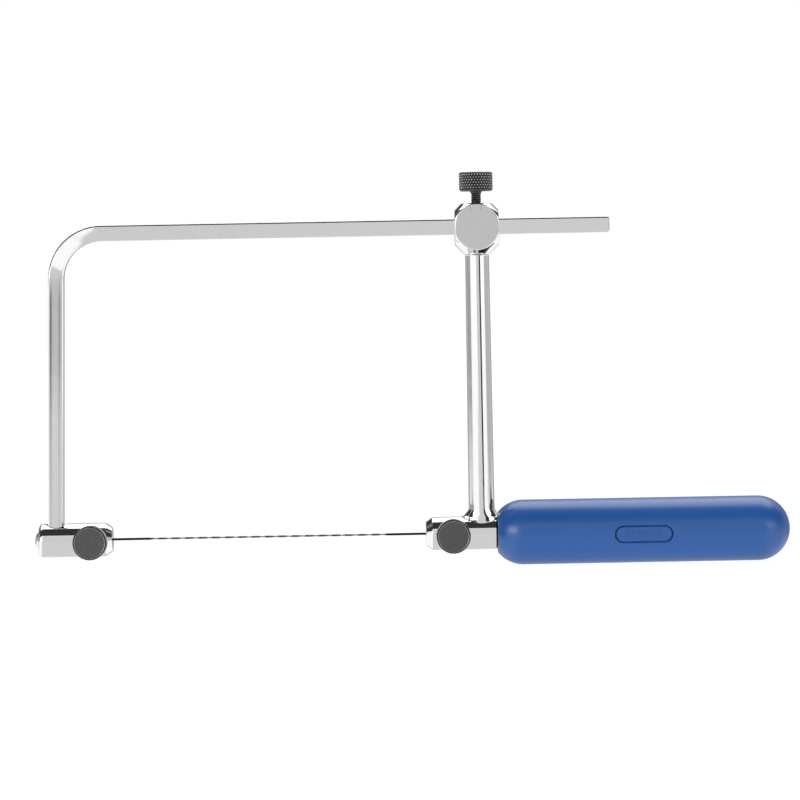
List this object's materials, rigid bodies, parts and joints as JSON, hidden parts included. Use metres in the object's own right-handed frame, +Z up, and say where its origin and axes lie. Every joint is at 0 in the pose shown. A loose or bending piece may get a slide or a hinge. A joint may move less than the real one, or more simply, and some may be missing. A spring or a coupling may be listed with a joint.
{
  "type": "coping saw",
  "caption": "Adjustable coping saw with a square chromed bow, a spiral blade held by knurled thumbscrews, and a moulded handle.",
  "frame": {"origin": "middle of the handle, on the blade's line, where the hand holds the saw", "axes": "+X along the blade towards the butt of the handle, +Z up from the blade to the bow, -Y the side that the clamp thumbscrews face"},
  "size_m": [0.2453, 0.0259, 0.1277],
  "materials": {
    "chrome": "bright chrome plate on steel",
    "black_oxide": "black oxide on steel, satin, diamond knurl",
    "blade_steel": "dark hardened and tempered steel",
    "brass_pad": "turned brass",
    "blue_plastic": "blue moulded plastic, semi-gloss"
  },
  "bodies": {
    "rear_frame": {"handle": "blue_plastic", "rear_clamp_barrel": "chrome", "stem_post": "chrome", "slide_head": "chrome", "spiral_blade": "blade_steel"},
    "bow": {"bow_bar": "chrome", "front_clamp_barrel": "chrome", "bow_end_rivet": "chrome"},
    "front_clamp_pad": {"front_clamp_pad": "brass_pad"},
    "front_clamp_screw": {"front_clamp_thumbscrew": "black_oxide"},
    "rear_clamp_pad": {"rear_clamp_pad": "brass_pad"},
    "rear_clamp_screw": {"rear_clamp_thumbscrew": "black_oxide"},
    "bow_lock_pad": {"bow_lock_pad": "brass_pad"},
    "bow_lock_screw": {"bow_lock_thumbscrew": "black_oxide"}
  },
  "joints": [
    {"name": "bow_slide", "type": "slide", "parent": "rear_frame", "child": "bow", "axis": [-1, 0, 0], "range_m": [0, 0.036]},
    {"name": "front_clamp_pad_travel", "type": "slide", "parent": "bow", "child": "front_clamp_pad", "axis": [0, -1, 0], "range_m": [0, 0.0024]},
    {"name": "front_clamp_screw_turn", "type": "hinge", "parent": "front_clamp_pad", "child": "front_clamp_screw", "pos_m": [-0.1789, 0, 0], "axis": [0, -1, 0], "range_deg": [0, 1440]},
    {"name": "rear_clamp_pad_travel", "type": "slide", "parent": "rear_frame", "child": "rear_clamp_pad", "axis": [0, -1, 0], "range_m": [0, 0.0024]},
    {"name": "rear_clamp_screw_turn", "type": "hinge", "parent": "rear_clamp_pad", "child": "rear_clamp_screw", "pos_m": [-0.06195, 0, 0], "axis": [0, -1, 0], "range_deg": [0, 1440]},
    {"name": "bow_lock_pad_travel", "type": "slide", "parent": "rear_frame", "child": "bow_lock_pad", "axis": [0, 0, 1], "range_m": [0, 0.0024]},
    {"name": "bow_lock_screw_turn", "type": "hinge", "parent": "bow_lock_pad", "child": "bow_lock_screw", "pos_m": [-0.0525, 0, 0.102], "axis": [0, 0, 1], "range_deg": [0, 1440]}
  ],
  "couplings": [
    {"joint": "front_clamp_screw_turn", "follows": "front_clamp_pad_travel", "rad_per_m": 10472},
    {"joint": "rear_clamp_screw_turn", "follows": "rear_clamp_pad_travel", "rad_per_m": 10472},
    {"joint": "bow_lock_screw_turn", "follows": "bow_lock_pad_travel", "rad_per_m": 10472}
  ]
}
